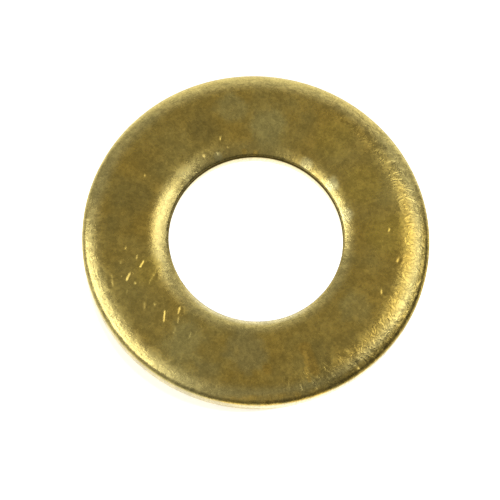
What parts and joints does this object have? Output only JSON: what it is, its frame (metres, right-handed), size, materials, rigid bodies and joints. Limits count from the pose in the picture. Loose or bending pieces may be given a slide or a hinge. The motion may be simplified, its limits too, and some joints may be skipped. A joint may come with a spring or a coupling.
{
  "type": "flat washer",
  "caption": "Stamped brass flat washer: a plain flat ring with a bolt clearance hole, rounded edges on its upper face and sheared side walls.",
  "frame": {"origin": "centre of the hole, on the flat lower face", "axes": "+Z along the hole's axis, from the lower face to the rounded upper face; X and Y in the lower face, in any direction, because the ring is round"},
  "size_m": [0.0206, 0.0206, 0.0016],
  "materials": {
    "brass": "tumbled satin, lightly tarnished"
  },
  "bodies": {
    "root": {"washer": "brass"}
  },
  "joints": []
}
